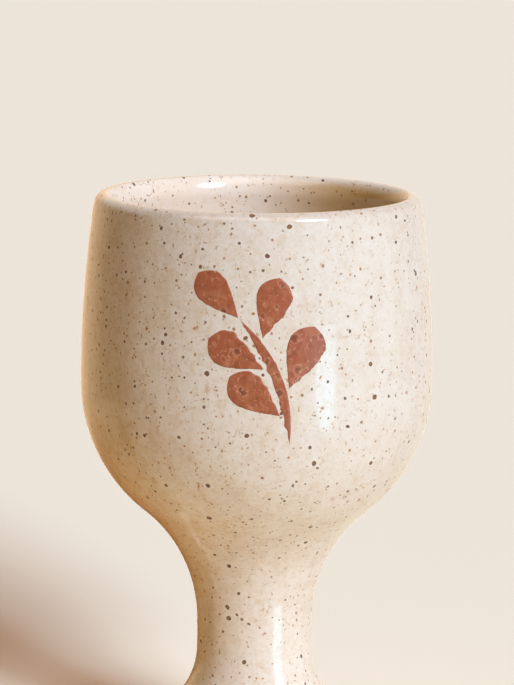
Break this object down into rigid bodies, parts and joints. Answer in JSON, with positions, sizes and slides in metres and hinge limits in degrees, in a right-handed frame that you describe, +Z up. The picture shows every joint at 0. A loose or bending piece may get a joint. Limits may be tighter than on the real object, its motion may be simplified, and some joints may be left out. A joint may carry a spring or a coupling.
{
  "type": "goblet",
  "caption": "Stemmed stoneware goblet with a round-bellied bowl luted to a hollow stem and flared foot, in speckled cream glaze with a brushed leaf sprig, for drinking.",
  "frame": {"origin": "on the table, under the middle of the foot", "axes": "+Z up along the axis of the bowl and stem, -Y towards the front with the brushed sprig, +X to the viewer's right"},
  "size_m": [0.088, 0.0882, 0.1439],
  "materials": {
    "stoneware": "bare toasted stoneware, matte",
    "slip": "fired slip, matte",
    "glaze": "glossy cream glaze with iron specks",
    "iron_pigment": "iron-red brushwork, satin"
  },
  "bodies": {
    "root": {"bowl": "stoneware", "stem": "stoneware", "slip_seam": "slip", "outer_glaze": "glaze", "liner_glaze": "glaze", "sprig_stalk": "iron_pigment", "sprig_leaf_1": "iron_pigment", "sprig_leaf_2": "iron_pigment", "sprig_leaf_3": "iron_pigment", "sprig_leaf_4": "iron_pigment", "sprig_leaf_5": "iron_pigment"}
  },
  "joints": []
}
